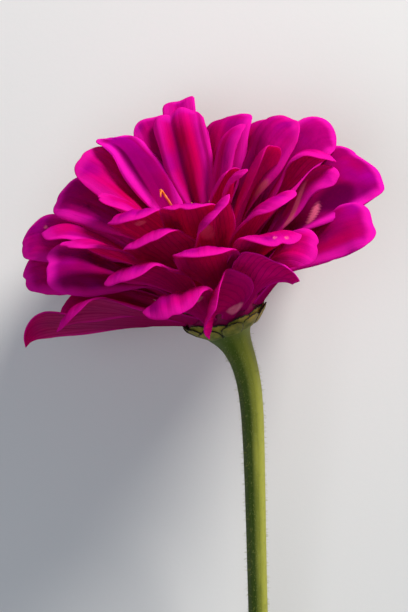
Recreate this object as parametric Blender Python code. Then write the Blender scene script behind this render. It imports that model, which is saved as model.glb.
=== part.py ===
"""A cut zinnia lying on a flat surface: a stem that swells into the receptacle, two rows of bracts, the disc and
five whorls of petals.

The flower is modelled upright in its own frame, in millimetres: +Z is the axis of the flower head, the head starts
at Z = 0, and azimuth 0 is the side that faces up once the flower is laid down (azimuth 90 is its right).
Every petal and the stem is a stack of rings between two poles.
"""

import math

import bmesh
import bpy
import numpy as np
from mathutils import Matrix

MM = 0.001

# How the flower lies: the head leans left by HEAD_LEAN and lifts off the surface by HEAD_LIFT.
HEAD_LEAN = 18.0
HEAD_LIFT = 12.0

# Stem: its thin end, how much it swells towards the head, and the bend and sway just under the head.
STEM_LENGTH = 156.0
STEM_RADIUS = 2.08
STEM_SWELLING = 1.0
STEM_SWELLING_LENGTH = 20.0
STEM_FLARE = 3.4
STEM_FLARE_LENGTH = 2.4
STEM_BEND = 16.0
STEM_BEND_LENGTH = 13.0
STEM_SWAY = 9.0
STEM_SWAY_LENGTH = 4.0
STEM_SIDES = 14
STEM_STATIONS = (0.0, 0.8, 1.8, 3.0, 4.6, 7.0, 10.0, 14.0, 19.0, 26.0, 36.0, 50.0, 70.0, 92.0, 120.0, 156.0)
PITH_RADIUS = 1.1
PITH_DEPTH = 1.5

# Receptacle: the cone that carries the florets, as (height, radius).
RECEPTACLE = ((1.5, 7.8), (3.2, 8.4), (6.0, 8.3), (9.5, 7.5), (13.5, 6.0), (17.0, 4.6), (19.3, 3.1))
RECEPTACLE_TOP = 20.3

# Bracts: rows of scales around the base of the head, as (lowest height, tip height, gap to the flare at the bottom,
# gap further up, number of scales).
BRACT_ROWS = {"bracts_outer": (-1.6, 1.5, 0.4, 1.5, 9), "bracts_inner": (-0.4, 2.7, 0.4, 0.5, 10)}
BRACT_THICKNESS = 0.6
BRACT_SCALLOP = 1.2
BRACT_PROFILE = (0.0, 0.25, 0.5, 0.75, 1.0)
BRACT_SWEEP = 0.45

# Disc: the cushion of small florets on top of the receptacle, as (height, radius).
DISC_BOTTOM = 20.7
DISC = ((20.5, 2.9), (21.6, 3.9), (23.2, 3.7), (24.6, 2.2))
DISC_TOP = 25.2
DISC_SIDES = 12

# Petals. Their crests lie on a dome about a centre on the axis, and their tips turn back beyond the crest.
DOME_CENTRE = 11.0
PETAL_ARCH = 26.0
PETAL_TIP = 8.0
PETAL_CLAW = 0.22
PETAL_THICKNESS = 0.7
PETAL_CHANNEL = -48.0
PETAL_SEAT_GAP = 0.35
CREST_SHARE = (0.04, 0.2, 0.4, 0.6, 0.8, 1.0)
TIP_SHARE = (0.34, 0.64, 0.88)
ACROSS = (-1.0, -0.5, 0.0, 0.5, 1.0)

# The petals of each whorl in the order of their azimuth: (seat azimuth, seat height, crest azimuth, crest angle from
# the axis, crest radius, width, turn of the tip, twist, how far the edges turn back).
WHORLS = {
    "outer": (
        (4, 3.3, 358, 86, 30, 14.0, 55, 54, 15),
        (30, 4.0, 26, 88, 28, 9.5, 30, 0, 20),
        (72, 3.3, 74, 84, 31, 16.0, 55, 40, 15),
        (106, 4.0, 108, 84, 33, 14.0, 50, 0, 20),
        (132, 3.3, 133, 80, 36, 14.0, 50, 0, 20),
        (157, 4.0, 157, 78, 36, 12.5, 50, 0, 20),
        (181, 3.3, 181, 76, 36, 12.5, 50, 0, 20),
        (205, 4.0, 205, 78, 36, 12.5, 50, 0, 20),
        (227, 3.3, 226, 82, 34, 13.0, 50, 0, 20),
        (250, 4.0, 250, 88, 32, 12.0, 45, -20, 15),
        (272, 3.3, 270, 90, 35, 14.0, 50, 35, 10),
        (304, 4.0, 306, 80, 34, 13.0, 45, 25, 20),
        (337, 3.3, 346, 80, 37, 14.2, 55, 3, 20),
    ),
    "lower": (
        (6, 6.4, 1, 68, 35.5, 13.0, 52, -11, 20),
        (29, 7.2, 25, 70, 34, 13.5, 52, -18, 20),
        (50, 6.4, 42, 78, 26.5, 13.0, 80, 35, 22),
        (86, 7.2, 94, 69, 36, 17.0, 55, 40, 15),
        (116, 6.4, 118, 70, 34, 14.0, 50, 0, 20),
        (143, 7.2, 143, 68, 35, 13.0, 50, 0, 20),
        (168, 6.4, 169, 66, 36, 11.5, 50, 0, 20),
        (193, 7.2, 194, 66, 36, 12.0, 50, 0, 20),
        (217, 6.4, 217, 68, 35, 13.5, 50, 0, 20),
        (240, 7.2, 240, 72, 34, 13.0, 50, 0, 20),
        (262, 6.4, 266, 70, 34, 14.0, 50, -40, 10),
        (288, 7.2, 288, 66, 30.5, 14.0, 40, -50, 1),
        (332, 6.4, 332, 68, 36, 14.0, 52, 3, 20),
    ),
    "middle": (
        (10, 10.0, 9, 58, 34, 11.0, 50, 31, 20),
        (36, 10.8, 33, 60, 32.5, 11.5, 50, 8, 20),
        (61, 10.0, 73, 59, 27.5, 11.0, 55, -20, 30),
        (80, 11.0, 78, 53, 30.5, 12.0, 55, -25, 25),
        (111, 9.8, 106, 53, 37, 12.0, 50, 5, 20),
        (135, 10.8, 135, 57, 33, 13.0, 50, 0, 20),
        (162, 10.0, 160, 52, 33, 12.0, 50, 0, 20),
        (190, 10.8, 191, 52, 34, 12.5, 50, 0, 20),
        (218, 10.0, 220, 54, 34, 13.5, 50, 0, 20),
        (251, 10.8, 256, 59, 35.5, 14.0, 50, -35, 15),
        (278, 10.0, 276, 54, 32, 12.0, 40, -8, 20),
        (310, 10.8, 308, 57, 33, 11.5, 40, -8, 20),
        (338, 10.0, 342, 58, 34.5, 14.0, 52, 6, 20),
    ),
    "upper": (
        (357, 13.8, 359, 51, 34, 13.0, 52, -14, 20),
        (28, 14.6, 23, 45, 31.5, 7.0, 50, 30, 60),
        (55, 13.8, 63, 41, 34, 9.0, 60, 0, 75),
        (92, 14.6, 98, 41, 33, 14.0, 65, 10, 20),
        (120, 13.8, 122, 46, 34, 13.0, 60, 10, 25),
        (146, 14.6, 142, 36, 33, 13.5, 55, 0, 20),
        (176, 13.8, 174, 35, 38.5, 8.3, 45, 0, 15),
        (202, 14.6, 194, 31, 33, 11.0, 50, 0, 20),
        (243, 13.8, 249, 29, 32, 13.5, 30, -30, 15),
        (273, 14.6, 257, 44, 31, 13.0, 45, -35, 10),
        (322, 13.8, 335, 48, 34, 13.0, 52, 0, 20),
    ),
    "inner": (
        (45, 17.2, 40, 30, 22, 7.0, 40, 0, 30),
        (110, 17.9, 117, 27, 28.5, 9.0, 60, 0, 40),
        (160, 17.2, 167, 23, 32, 11.5, 45, 0, 15),
        (236, 17.9, 221, 24, 31.5, 12.0, 45, 22, 15),
        (290, 17.2, 290, 30, 24, 9.0, 40, -20, 20),
    ),
}

COLOURS = {
    "petal": ((0.55, 0.0, 0.30, 1.0), 0.55),
    "stem": ((0.16, 0.28, 0.05, 1.0), 0.5),
    "bract": ((0.20, 0.24, 0.04, 1.0), 0.6),
    "disc": ((0.55, 0.16, 0.03, 1.0), 0.7),
}


def unit(vector):
    return vector / np.linalg.norm(vector)


def outward(azimuth):
    """The direction away from the axis at an azimuth: 0 is -Y, the side that will face up, and 90 is +X."""
    turn = math.radians(azimuth)
    return np.array([math.sin(turn), -math.cos(turn), 0.0])


def receptacle_radius(height):
    heights, radii = zip(*RECEPTACLE)
    return float(np.interp(height, heights, radii))


def circle(centre, across, along, radius, sides):
    """Points on a circle, from the direction across towards the direction along."""
    turns = [2 * math.pi * i / sides for i in range(sides)]
    return [centre + radius * (math.cos(t) * across + math.sin(t) * along) for t in turns]


# ---------------------------------------------------------------- solids


def material(name):
    colour, roughness = COLOURS[name]
    made = bpy.data.materials.get(name) or bpy.data.materials.new(name)
    made.use_nodes = True
    shader = made.node_tree.nodes["Principled BSDF"]
    shader.inputs["Base Color"].default_value = colour
    shader.inputs["Roughness"].default_value = roughness
    made.diffuse_color = colour
    return made


def finish(mesh_builder, name, finish_name, parent):
    """Turns a bmesh in millimetres into an object that faces outwards and hangs on the flower's empty."""
    bmesh.ops.recalc_face_normals(mesh_builder, faces=mesh_builder.faces)
    bmesh.ops.scale(mesh_builder, vec=(MM, MM, MM), verts=mesh_builder.verts)
    mesh = bpy.data.meshes.new(name)
    mesh_builder.to_mesh(mesh)
    mesh_builder.free()
    mesh.shade_smooth()
    mesh.set_sharp_from_angle(angle=math.radians(50))
    mesh.materials.append(material(finish_name))
    obj = bpy.data.objects.new(name, mesh)
    bpy.context.scene.collection.objects.link(obj)
    obj.parent = parent
    return obj


def solid_of_rings(rings, first_pole, last_pole, front=None):
    """A closed bmesh: rings of equal size joined by triangles, and a fan to each pole.

    The first front points of a ring are one side of a thin blade. The triangles of its other side lean the other
    way, so that the two sides run alongside each other and never cross.
    """
    bm = bmesh.new()
    loops = [[bm.verts.new(point) for point in ring] for ring in rings]
    size = len(rings[0])
    for lower, upper in zip(loops, loops[1:]):
        for i in range(size):
            j = (i + 1) % size
            if front is None or i < front:
                bm.faces.new((lower[i], lower[j], upper[j]))
                bm.faces.new((lower[i], upper[j], upper[i]))
            else:
                bm.faces.new((lower[i], lower[j], upper[i]))
                bm.faces.new((lower[j], upper[j], upper[i]))
    for pole, loop in ((first_pole, loops[0][::-1]), (last_pole, loops[-1])):
        centre = bm.verts.new(pole)
        for i in range(size):
            bm.faces.new((loop[i], loop[(i + 1) % size], centre))
    return bm


# ---------------------------------------------------------------- stem and receptacle


def stem_radius(distance):
    swelling = STEM_SWELLING * math.exp(-distance / STEM_SWELLING_LENGTH)
    flare = STEM_FLARE * math.exp(-distance / STEM_FLARE_LENGTH)
    return STEM_RADIUS + swelling + flare


def stem_line(step=0.2):
    """Points and directions down the stem every step: from the axis it sways right a little, then bends left."""
    point, line = np.zeros(3), []
    for i in range(round(STEM_LENGTH / step) + 1):
        swayed, bent = i * step / STEM_SWAY_LENGTH, i * step / STEM_BEND_LENGTH
        bend = STEM_BEND * (1 - math.exp(-bent ** 2)) - STEM_SWAY * swayed * math.exp(1 - swayed)
        bend = math.radians(bend)
        direction = np.array([-math.sin(bend), 0.0, -math.cos(bend)])
        line.append((point, direction))
        point = point + step * direction
    return line, step


def make_stem(parent):
    line, step = stem_line()
    rings = []
    up = np.array([0.0, -1.0, 0.0])
    for distance in reversed(STEM_STATIONS):
        point, direction = line[round(distance / step)]
        rings.append(circle(point, np.cross(up, direction), up, stem_radius(distance), STEM_SIDES))
    end, direction = line[-1]
    rings.insert(0, circle(end, np.cross(up, direction), up, PITH_RADIUS, STEM_SIDES))
    across = np.cross(up, line[0][1])
    for height, radius in RECEPTACLE:
        rings.append(circle(np.array([0.0, 0.0, height]), across, up, radius, STEM_SIDES))
    pith = end - PITH_DEPTH * direction
    return finish(solid_of_rings(rings, pith, (0.0, 0.0, RECEPTACLE_TOP)), "stem", "stem", parent)


# ---------------------------------------------------------------- bracts and disc


def flare_radius(height):
    """Outer radius of the stem's flare and of the receptacle's rim at a height about the head's base."""
    if height <= 0:
        return stem_radius(-height)
    return float(np.interp(height, (0.0, RECEPTACLE[0][0]), (stem_radius(0), RECEPTACLE[0][1])))


def make_bracts(name, parent, sides_per_bract=6):
    """One row of scales, joined at their bases: a thin cup that hugs the flare, with a scalloped rim."""
    bottom, tip, low_gap, high_gap, count = BRACT_ROWS[name]
    sides = sides_per_bract * count
    bm = bmesh.new()
    loops = []
    for i in range(sides):
        azimuth = 360 * i / sides
        rim = tip - BRACT_SCALLOP * (1 - abs(math.sin(math.radians(azimuth * count / 2))) ** 0.7)
        inner = []
        for share in BRACT_PROFILE:
            height = bottom + share * (rim - bottom)
            gap = low_gap + (high_gap - low_gap) * min(1.0, share / BRACT_SWEEP)
            inner.append((height, flare_radius(height) + gap))
        section = inner + [(h, r + BRACT_THICKNESS) for h, r in reversed(inner)]
        loops.append([bm.verts.new(r * outward(azimuth) + np.array([0.0, 0.0, h])) for h, r in section])
    for here, beyond in zip(loops, loops[1:] + loops[:1]):
        for j in range(len(here)):
            k = (j + 1) % len(here)
            bm.faces.new((here[j], here[k], beyond[k]))
            bm.faces.new((here[j], beyond[k], beyond[j]))
    return finish(bm, name, "bract", parent)


def make_disc(parent):
    across, along = np.array([1.0, 0.0, 0.0]), np.array([0.0, 1.0, 0.0])
    rings = [circle(np.array([0.0, 0.0, h]), across, along, r, DISC_SIDES) for h, r in DISC]
    bm = solid_of_rings(rings, (0.0, 0.0, DISC_BOTTOM), (0.0, 0.0, DISC_TOP))
    return finish(bm, "disc_florets", "disc", parent)


# ---------------------------------------------------------------- petals


def blade_outline(share):
    """Half width over the greatest half width, from the claw (share 0) to the blunt tip (share 1)."""
    opening = min(share / 0.62, 1.0)
    body = PETAL_CLAW + (1 - PETAL_CLAW) * opening * opening * (3 - 2 * opening)
    beyond = max(0.0, (share - 0.74) / 0.26)
    return body * (1 - beyond ** 2.6) ** (1 / 2.6)


def petal_ring(point, normal, lateral, half_width, edge_turn, thickness):
    """Eight points round a cross-section: an arc across the blade, thick along its middle and sharp at its edges."""
    turn = math.radians(edge_turn) or 1e-6
    middle = []
    for s in ACROSS:
        aside = half_width * math.sin(turn * s) / turn
        back = half_width * (1 - math.cos(turn * s)) / turn
        middle.append((point + aside * lateral - back * normal, 0.5 * thickness * (1 - s * s)))
    upper = [p + t * normal for p, t in middle]
    lower = [p - t * normal for p, t in middle]
    return upper + lower[-2:0:-1]


def petal_rings(row, radius):
    """The blade rises from its seat in an arch to its crest, twisting, and then its tip turns back."""
    seat_azimuth, seat_height, azimuth, angle, _, width, tip_turn, twist, edge_turn = row
    seat_radius = receptacle_radius(seat_height) + PETAL_SEAT_GAP
    seat = seat_radius * outward(seat_azimuth) + np.array([0.0, 0.0, seat_height])
    tilt = math.radians(angle)
    crest = radius * math.sin(tilt) * outward(azimuth)
    crest = crest + np.array([0.0, 0.0, DOME_CENTRE + radius * math.cos(tilt)])
    chord = unit(crest - seat)
    reach = np.linalg.norm(crest - seat)
    upright = np.array([0.0, 0.0, 1.0])
    inner = unit(upright - upright.dot(chord) * chord)
    lateral = np.cross(chord, inner)
    half_arch = math.radians(PETAL_ARCH) / 2
    bow = reach / (2 * math.sin(half_arch))
    arch_length = 2 * bow * half_arch
    length = arch_length + PETAL_TIP
    roll = math.radians(tip_turn)
    roll_radius = PETAL_TIP / roll

    def frame(distance):
        """Point, direction, inner normal and lateral at a distance from the seat."""
        on_arch = min(distance, arch_length)
        bend = half_arch - on_arch / bow
        point = seat + bow * ((math.sin(half_arch) - math.sin(bend)) * chord
                              + (math.cos(bend) - math.cos(half_arch)) * inner)
        ahead = math.cos(bend) * chord + math.sin(bend) * inner
        normal = math.cos(bend) * inner - math.sin(bend) * chord
        turned = math.radians(twist) * (on_arch / arch_length) ** 2
        side = math.cos(turned) * lateral + math.sin(turned) * np.cross(ahead, lateral)
        normal = np.cross(side, ahead)
        angle = max(0.0, distance - arch_length) / roll_radius
        point = point + roll_radius * (math.sin(angle) * ahead - (1 - math.cos(angle)) * normal)
        ahead, normal = (math.cos(angle) * ahead - math.sin(angle) * normal,
                         math.sin(angle) * ahead + math.cos(angle) * normal)
        return point, ahead, normal, side

    distances = [s * arch_length for s in CREST_SHARE] + [arch_length + s * PETAL_TIP for s in TIP_SHARE]
    rings = []
    for distance in distances:
        point, _, normal, side = frame(distance)
        share = distance / length
        edge = PETAL_CHANNEL + (edge_turn - PETAL_CHANNEL) * min(1.0, share / 0.7)
        thickness = PETAL_THICKNESS * (0.6 + 0.4 * min(1.0, share / 0.3))
        rings.append(petal_ring(point, normal, side, 0.5 * width * blade_outline(share), edge, thickness))
    return rings, frame(0.0)[0], frame(length)[0]


def resting_radius(row, lying, floor):
    """The petal's crest radius, or the smaller one at which the surface below presses it back."""
    def lowest(radius):
        rings, _, tip = petal_rings(row, radius)
        return (np.vstack(rings + [tip]) @ lying.T)[:, 2].min()

    free = row[4]
    if lowest(free) >= floor:
        return free
    touching, sunk = 0.5 * free, free
    for _ in range(30):
        tried = (touching + sunk) / 2
        if lowest(tried) < floor:
            sunk = tried
        else:
            touching = tried
    return touching


def make_petals(parent, lying, floor):
    for whorl, petals in WHORLS.items():
        for i, row in enumerate(petals):
            rings, claw, tip = petal_rings(row, resting_radius(row, lying, floor))
            blade = solid_of_rings(rings, claw, tip, front=len(ACROSS) - 1)
            finish(blade, f"petal_{whorl}_{i + 1:02d}", "petal", parent)


# ---------------------------------------------------------------- laying down


def lying_rotation():
    """Rotation that lays the upright flower down: its axis lies along +Y, leaning left and lifting a little."""
    lean, lift = math.radians(HEAD_LEAN), math.radians(HEAD_LIFT)
    axis = np.array([-math.sin(lean) * math.cos(lift), math.cos(lean) * math.cos(lift), math.sin(lift)])
    facing = unit(np.array([0.0, 0.0, 1.0]) - axis[2] * axis)
    return np.column_stack((np.cross(axis, facing), -facing, axis))


def points_of(objects):
    """The objects' vertices in the flower's frame, in millimetres."""
    return np.array([v.co for obj in objects for v in obj.data.vertices], float) / MM


def lay_down(flower, lying, floor):
    """Puts the surface, which the stem's end touches, at Z = 0 and the middle of the footprint at the origin."""
    everything = points_of(flower.children) @ lying.T
    middle = (everything.min(axis=0) + everything.max(axis=0)) / 2
    placed = np.eye(4)
    placed[:3, :3] = lying
    placed[:3, 3] = np.array([-middle[0], -middle[1], -floor]) * MM
    flower.matrix_world = Matrix(placed)


def main():
    for obj in list(bpy.data.objects):
        bpy.data.objects.remove(obj)
    flower = bpy.data.objects.new("flower", None)
    bpy.context.scene.collection.objects.link(flower)
    lying = lying_rotation()
    stem = make_stem(flower)
    floor = (points_of([stem]) @ lying.T)[:, 2].min()
    for row in BRACT_ROWS:
        make_bracts(row, flower)
    make_disc(flower)
    make_petals(flower, lying, floor)
    lay_down(flower, lying, floor)


main()
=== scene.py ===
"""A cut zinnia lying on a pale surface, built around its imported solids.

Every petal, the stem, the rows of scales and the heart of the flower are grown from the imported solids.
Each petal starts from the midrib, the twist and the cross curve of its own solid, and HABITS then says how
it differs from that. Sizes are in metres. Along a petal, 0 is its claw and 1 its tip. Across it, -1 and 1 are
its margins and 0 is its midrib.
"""

import math

import bmesh
import bpy
import numpy as np
from mathutils import Matrix, Vector


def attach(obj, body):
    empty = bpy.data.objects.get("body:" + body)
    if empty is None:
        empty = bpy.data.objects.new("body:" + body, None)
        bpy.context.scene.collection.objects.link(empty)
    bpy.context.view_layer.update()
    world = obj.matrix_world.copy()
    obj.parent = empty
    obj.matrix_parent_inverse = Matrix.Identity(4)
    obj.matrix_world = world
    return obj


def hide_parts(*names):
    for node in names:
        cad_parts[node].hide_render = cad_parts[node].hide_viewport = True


bl_info = {
    "name": "Cut zinnia",
    "version": (1, 0, 0),
    "blender": (4, 5, 0),
    "location": "View3D > Sidebar > Zinnia",
    "description": "Grows a cut zinnia around its packed solids: petals, stem, scales and heart",
    "category": "Object",
}

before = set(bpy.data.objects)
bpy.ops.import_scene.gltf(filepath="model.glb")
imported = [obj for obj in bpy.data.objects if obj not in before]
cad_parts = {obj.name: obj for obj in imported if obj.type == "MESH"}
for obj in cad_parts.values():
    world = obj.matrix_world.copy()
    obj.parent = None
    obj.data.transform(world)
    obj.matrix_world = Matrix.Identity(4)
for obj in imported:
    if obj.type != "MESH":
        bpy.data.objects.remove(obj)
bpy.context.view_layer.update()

MM = 0.001
BODY = "root"
MERGE = 2e-6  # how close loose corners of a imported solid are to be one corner
POLE_LINKS_OF_PETAL = 8
POLE_LINKS_OF_STEM = 14
STEM_RINGS = 16  # rings of the stem's solid from its cut end to the base of the head, after its pith's ring
FLARE_RINGS = 9  # how many of those, counted from the head, the flare is read from

# Petal blades.
ROWS = 70
COLUMNS = 40
MIDRIB_POINTS = 121
CLAW_WIDTH = 0.22
SHOULDER = 0.62  # where a blade reaches its full width
TIP_SHARE = 0.26  # the rounded part of a blade
RIM_SHARE = 0.16  # the part of the half width whose edge may roll
CURL_START = 0.66  # where a tip begins to turn back
NOTCH_WIDTH = 0.13
TIP_TEETH = 0.004
DENT_DEPTH = 0.22 * MM
COMMON_HALF = 6 * MM  # a common petal's half width; ridges and dents are lower on a narrower one

# Stem skin.
STEM_STEPS = 90
FLARE_STEPS = 60
FLARE_LENGTH = 12 * MM
CUT_SHARES = (0.06, 0.45, 0.62)  # rings inside the cut end: how far in from its rim each lies
PITH_DEPTH = 0.7  # how deep the innermost of them lies, over the pith's own depth
HAIR_LEANS = ((-0.45, 0.45, 1), (-0.7, 0.3, 2), (-0.45, 0.45, 3))  # in X, Y, Z: least, most, salt of the draw

# Scales under the head: lowest height, tip height, gap to the flare, half width, number of scales, and how
# far the first one is turned, as a share of the turn between two.
SCALE_ROWS = {
    "bracts_outer": (-0.7 * MM, 2.4 * MM, 0.75 * MM, 2.5 * MM, 10, 0.1),
    "bracts_inner": (0.4 * MM, 3.2 * MM, 0.35 * MM, 2.9 * MM, 10, 0.45),
}
SCALE_GRID = (10, 12)  # rows and columns

# The heart's dome: number of pieces, places of the spiral left free inside them, the dome's radius, the
# heights of its rim and its top over the base of the head, and how far the pieces splay outwards.
SMALL_SCALE_DOME = (64, 0, 3.6 * MM, 21.0 * MM, 23.2 * MM, 0.5)
FLORET_DOME = (12, 30, 3.5 * MM, 21.0 * MM, 24.5 * MM, 0.35)
SMALL_SCALE_RADIUS = 0.62 * MM
SMALL_SCALE_SHARES = (0.5, 0.9, 1.0, 0.75, 0.3, 0.04)  # radii evenly from foot to tip, over that radius
FLORET_LENGTH = 5.4 * MM
FLORET_RADIUS = 0.5 * MM
FLORET_SHARES = (0.5, 0.5, 0.6, 0.9, 1.3, 0.5, 0.2)
GOLDEN_ANGLE = math.radians(137.508)

# Styles, in millimetres: azimuth in degrees, distance from the axis, height of foot and fork, how far they
# lean out, and size.
STYLES = (
    (269, 3.0, 23.0, 31.4, 1.3, 1.2),
    (250, 2.4, 22.0, 24.6, 1.0, 1.0),
    (20, 2.6, 22.0, 24.4, 0.8, 0.9),
    (80, 3.0, 22.0, 24.6, 1.2, 1.0),
    (150, 2.4, 22.0, 25.0, 0.9, 0.9),
    (205, 3.0, 22.0, 24.6, 1.2, 1.0),
    (320, 2.2, 22.0, 24.0, 0.6, 0.8),
)
STYLE_POINTS = 12
STYLE_SIDES = 8
STALK_RADII = (0.30, 0.24)  # at its foot and its fork
ARM_RADII = (0.24, 0.13)  # at the fork and its tip

WHORLS = {"outer": 13, "lower": 13, "middle": 13, "upper": 11, "inner": 5}  # petals of each, from outside in

# What sets a petal apart from the others of its whorl:
# lean, sag: how far its tip and its middle lie from those of its solid, in millimetres
# reach, wide: its length and its width over its solid's
# claw: the width of its foot over its greatest width
# cant, turn: degrees that it is twisted further all along, and at its tip
# cup: how much of its solid's cross curve it keeps
# curl: degrees that its tip turns back further
# roll: degrees that its left and right margins roll down
# notch, notch_at: depth of the notch in its tip in millimetres, and where it is
# square: how square its tip is
# pleats: height in millimetres and number of its broad folds
# tone: 0 deep to 1 bright, partly the petal's own tone and partly painted light and shade on the whole petal
# flush: more painted red of light shining through its body
# faded: 0 fresh to 1 dull
# gloss, specks: painted highlights, pale patches of its lower and its upper face, each as
#     (along, across, half length, half width, slant)
# dusk: painted shade, dark patches in its hollows, in the same way
HABITS = {
    "petal_outer_01": {"lean": (-3.6, -0.7, 0), "sag": (3.7, -0.6, 0), "wide": 1.1, "roll": (10, 20),
                       "square": 1.4, "tone_and_light": 0.9, "gloss": ((0.24, -0.1, 0.14, 0.5, 0),)},
    "petal_outer_02": {"lean": (-1.6, 3.8, 0), "reach": 0.9, "wide": 1.5, "turn": -48, "tone_and_light": -0.1},
    "petal_outer_03": {"lean": (-1.4, 0.2, 0), "wide": 0.9, "claw": 0.5, "tone_and_light": 0.35, "flush": 0.7},
    "petal_outer_04": {"lean": (-3.0, 0.6, 0)},
    "petal_outer_10": {"lean": (0.0, 1.3, 0), "wide": 1.1, "curl": 25, "tone_and_light": 0.5},
    "petal_outer_11": {"lean": (-3.4, 3.6, 0), "sag": (0, -2.4, 0), "wide": 0.97, "claw": 0.55, "cant": 30,
                       "turn": -32, "curl": 45, "square": 1.6, "tone_and_light": 0.95, "flush": -0.6, "faded": 0.9},
    "petal_outer_12": {"lean": (-0.9, 1.9, 0), "sag": (0, -1.4, 0), "claw": 0.45, "curl": 20, "tone_and_light": 0.9,
                       "faded": 0.8},
    "petal_outer_13": {"lean": (-0.2, 0.2, 0), "tone_and_light": 0.9, "gloss": ((0.44, -0.3, 0.05, 0.25, 0),)},
    "petal_lower_01": {"lean": (-0.6, -0.6, 0), "tone_and_light": 0.9},
    "petal_lower_02": {"lean": (-0.4, -0.6, 0), "tone_and_light": 0.9,
                       "upper_highlights": ((0.93, 0.04, 0.012, 0.05, 0), (0.94, -0.32, 0.012, 0.05, 0))},
    "petal_lower_03": {"lean": (-1.1, -0.2, 0), "wide": 0.85, "curl": 25, "tone_and_light": 0.7, "flush": 0.5},
    "petal_lower_04": {"lean": (-0.2, 0.0, 0), "wide": 1.15, "claw": 0.4, "square": 3.6, "notch": 0.9,
                       "notch_at": -0.4, "pleats": (0.5, 1.6), "tone_and_light": 0.1,
                       "painted_shade": ((0.66, 0.45, 0.15, 0.35, 0),),
                       "upper_highlights": ((0.503, 0.52, 0.075, 0.11, -3.0),)},
    "petal_lower_05": {"claw": 0.4},
    "petal_lower_11": {"lean": (0.3, 1.0, 0), "square": 2.2, "pleats": (0.15, 1.0), "tone_and_light": 0.5},
    "petal_lower_12": {"lean": (1.2, 0.2, 0), "pleats": (0.0, 1.0), "tone_and_light": 0.15},
    "petal_lower_13": {"lean": (1.2, 0.4, 0), "wide": 0.92, "tone_and_light": 0.8},
    "petal_middle_01": {"lean": (-1.5, -0.4, 0), "tone_and_light": 0.6, "gloss": ((0.63, 0.25, 0.14, 0.3, 1.1),)},
    "petal_middle_02": {"lean": (-1.0, 0, 0), "tone_and_light": 0.7},
    "petal_middle_03": {"lean": (0.9, 2.2, 0), "sag": (1.4, -1.6, 0), "wide": 0.6, "curl": 45, "turn": 60,
                        "tone_and_light": 0.5, "flush": 0.5, "upper_highlights": ((0.60, 0.50, 0.17, 0.28, -4.06),)},
    "petal_middle_04": {"lean": (1.0, 2.6, 0), "curl": 45, "tone_and_light": 0.8, "flush": 0.6},
    "petal_middle_05": {"lean": (0.6, -1.2, 0), "turn": 45, "curl": 30, "tone_and_light": 0.4, "flush": -0.6},
    "petal_middle_10": {"lean": (-0.6, 0, 0), "pleats": (0.15, 1.0), "tone_and_light": 0.6,
                        "upper_highlights": ((0.84, 0.32, 0.014, 0.05, 0),)},
    "petal_middle_11": {"lean": (1.5, 1.7, 0), "tone_and_light": 0.6},
    "petal_middle_12": {"lean": (1.0, 1.7, 0), "sag": (0, -1.2, 0), "tone_and_light": 0.7},
    "petal_upper_01": {"lean": (0, -0.6, 0), "wide": 0.92, "tone_and_light": 0.9},
    "petal_upper_02": {"lean": (0.2, 0, 0), "wide": 0.55, "roll": (60, 60), "tone_and_light": 0.9,
                       "gloss": ((0.5, -0.2, 0.1, 0.3, 0),)},
    "petal_upper_03": {"lean": (-1.8, -2.9, 0), "reach": 0.88, "wide": 1.3, "cup": 0.6, "turn": -12,
                       "roll": (10, 10), "square": 3.2, "tone_and_light": 1.6, "flush": -1.0,
                       "gloss": ((0.41, 0.36, 0.05, 0.14, -5.3),)},
    "petal_upper_04": {"lean": (-2.0, 0.0, 0), "sag": (0.8, 0, 0), "wide": 1.55, "square": 2.2,
                       "pleats": (0.25, 1.5), "tone_and_light": 1.0, "flush": -0.3,
                       "upper_highlights": ((0.44, 0.93, 0.07, 0.09, 0),)},
    "petal_upper_05": {"lean": (-2.2, 0.2, 0), "wide": 1.15, "tone_and_light": 0.9},
    "petal_upper_06": {"lean": (-1.0, 0, 0), "square": 3.0, "wide": 1.1, "tone_and_light": 0.5},
    "petal_upper_07": {"lean": (1.9, 0.5, 0), "square": 8.0, "wide": 0.85, "curl": 0, "notch": 0.0,
                       "tone_and_light": 0.6},
    "petal_upper_08": {"lean": (2.2, 3.0, 0), "tone_and_light": 0.4},
    "petal_upper_09": {"lean": (1.2, -0.3, 0), "tone_and_light": 1.0, "flush": -0.1},
    "petal_upper_10": {"lean": (0.3, 2.0, 0), "pleats": (0.1, 1.0), "tone_and_light": 0.35, "flush": -0.4,
                       "painted_shade": ((0.726, -0.288, 0.014, 0.06, 0),)},
    "petal_upper_11": {"tone_and_light": 0.8, "gloss": ((0.63, 0.27, 0.03, 0.22, 0),)},
    "petal_inner_02": {"lean": (-1.1, -0.6, 0), "wide": 0.8, "roll": (50, 50), "tone_and_light": 0.8},
    "petal_inner_03": {"pleats": (0.8, 2.2), "tone_and_light": 0.75, "flush": 0.4},
    "petal_inner_04": {"lean": (0.2, 1.9, 0), "wide": 1.12, "roll": (20, 5), "square": 3.0,
                       "pleats": (0.3, 1.0), "tone_and_light": -0.1, "painted_shade": ((0.6, -0.62, 0.26, 0.3, 0),)},
    "petal_inner_05": {"tone_and_light": 0.9},
}


# ---------------------------------------------------------------- numbers


def unit(vectors):
    vectors = np.asarray(vectors, float)
    return vectors / np.linalg.norm(vectors, axis=-1, keepdims=True)


def ease(x):
    """0 below 0, 1 above 1 and an even curve between."""
    x = np.clip(x, 0.0, 1.0)
    return x * x * (3 - 2 * x)


def through(places, values, at):
    """A smooth curve through values given at uneven places, read at others."""
    places, values, at = np.asarray(places, float), np.asarray(values, float), np.asarray(at, float)
    slopes = np.gradient(values, places, axis=0)
    first = np.clip(np.searchsorted(places, at) - 1, 0, len(places) - 2)
    gap = places[first + 1] - places[first]
    t = (at - places[first]) / gap
    if values.ndim > 1:
        t, gap = t[..., None], gap[..., None]
    ahead, behind = t * t * (3 - 2 * t), (1 - t) ** 2 * (1 + 2 * t)
    return (
        behind * values[first]
        + ahead * values[first + 1]
        + gap * t * (1 - t) * ((1 - t) * slopes[first] - t * slopes[first + 1])
    )


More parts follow.
